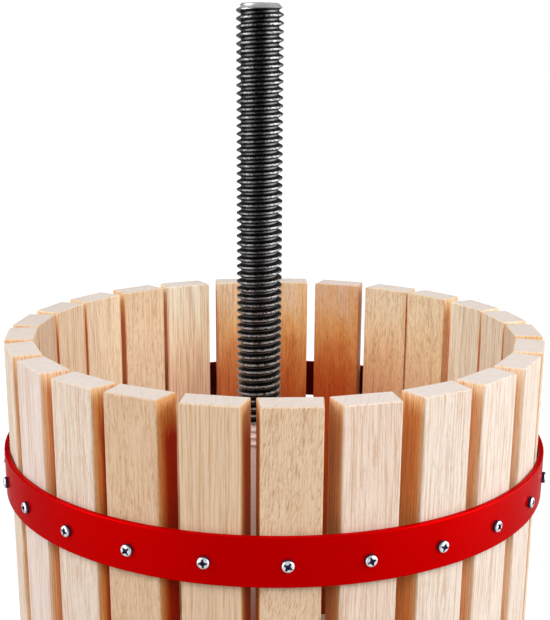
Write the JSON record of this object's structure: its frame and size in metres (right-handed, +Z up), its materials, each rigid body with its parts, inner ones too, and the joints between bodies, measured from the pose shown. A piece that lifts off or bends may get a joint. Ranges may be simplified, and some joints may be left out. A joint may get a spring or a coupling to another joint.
{
  "type": "fruit press",
  "caption": "Free-standing basket fruit press: upright wooden slats in steel hoops round a threaded spindle, over a round dish with a spout on bent flat-bar legs.",
  "frame": {"origin": "on the floor, on the axis of the spindle, at the centre of the three floor bolts", "axes": "+Z up along the spindle, the spout points to -Y, +X to the right seen from the spout"},
  "size_m": [0.4576, 0.514, 0.679],
  "materials": {
    "beech": "raw, sanded",
    "block_wood": "raw, sanded",
    "red_paint": "gloss paint",
    "zinc": "zinc plated",
    "spindle_steel": "black oxide, oiled",
    "arm_steel": "bright",
    "seal_rubber": "matt",
    "brass": "turned",
    "grip_plastic": "fine grain"
  },
  "bodies": {
    "stand": {"spindle": "spindle_steel", "spindle_seal": "seal_rubber", "spindle_washer": "zinc", "spindle_nut": "zinc", "tray": "red_paint", "spout": "red_paint", "base_frame": "red_paint", "leg_front_left": "red_paint", "leg_front_right": "red_paint", "leg_back": "red_paint", "leg_bolts": "zinc", "leg_nuts": "zinc"},
    "basket": {"slat_01": "beech", "slat_02": "beech", "slat_03": "beech", "slat_04": "beech", "slat_05": "beech", "slat_06": "beech", "slat_07": "beech", "slat_08": "beech", "slat_09": "beech", "slat_10": "beech", "slat_11": "beech", "slat_12": "beech", "slat_13": "beech", "slat_14": "beech", "slat_15": "beech", "slat_16": "beech", "slat_17": "beech", "slat_18": "beech", "slat_19": "beech", "slat_20": "beech", "slat_21": "beech", "slat_22": "beech", "slat_23": "beech", "slat_24": "beech", "slat_25": "beech", "upper_hoop": "red_paint", "upper_hoop_screws": "zinc", "lower_hoop": "red_paint", "lower_hoop_screws": "zinc"},
    "right_board": {"right_board": "block_wood", "right_battens": "block_wood", "right_batten_screws": "zinc"},
    "left_board": {"left_board": "block_wood", "left_battens": "block_wood", "left_batten_screws": "zinc"},
    "lower_blocks": {"lower_block_front": "block_wood", "lower_block_back": "block_wood"},
    "upper_blocks": {"upper_block_left": "block_wood", "upper_block_right": "block_wood"},
    "thrust_plate": {"thrust_plate": "red_paint", "thrust_washer": "brass"},
    "press_head": {"press_head": "red_paint", "retaining_ring": "zinc", "left_arm": "arm_steel", "right_arm": "arm_steel", "left_grip": "grip_plastic", "right_grip": "grip_plastic"}
  },
  "joints": [
    {"name": "basket_lift", "type": "slide", "parent": "stand", "child": "basket", "axis": [0, 0, 1], "range_m": [0, 0.54]},
    {"name": "right_board_lift", "type": "slide", "parent": "stand", "child": "right_board", "axis": [0, 0, 1], "range_m": [0, 0.53]},
    {"name": "left_board_lift", "type": "slide", "parent": "stand", "child": "left_board", "axis": [0, 0, 1], "range_m": [0, 0.53]},
    {"name": "lower_blocks_lift", "type": "slide", "parent": "right_board", "child": "lower_blocks", "axis": [0, 0, 1], "range_m": [0, 0.5]},
    {"name": "upper_blocks_lift", "type": "slide", "parent": "lower_blocks", "child": "upper_blocks", "axis": [0, 0, 1], "range_m": [0, 0.45]},
    {"name": "press_travel", "type": "slide", "parent": "upper_blocks", "child": "thrust_plate", "axis": [0, 0, 1], "range_m": [0, 0.2452]},
    {"name": "head_turn", "type": "hinge", "parent": "thrust_plate", "child": "press_head", "pos_m": [0, 0, 0.304], "axis": [0, 0, 1], "range_deg": [0, 20520]}
  ],
  "couplings": [
    {"joint": "left_board_lift", "follows": "right_board_lift", "ratio": 1},
    {"joint": "press_travel", "follows": "head_turn", "m_per_rad": 0.00068437}
  ]
}
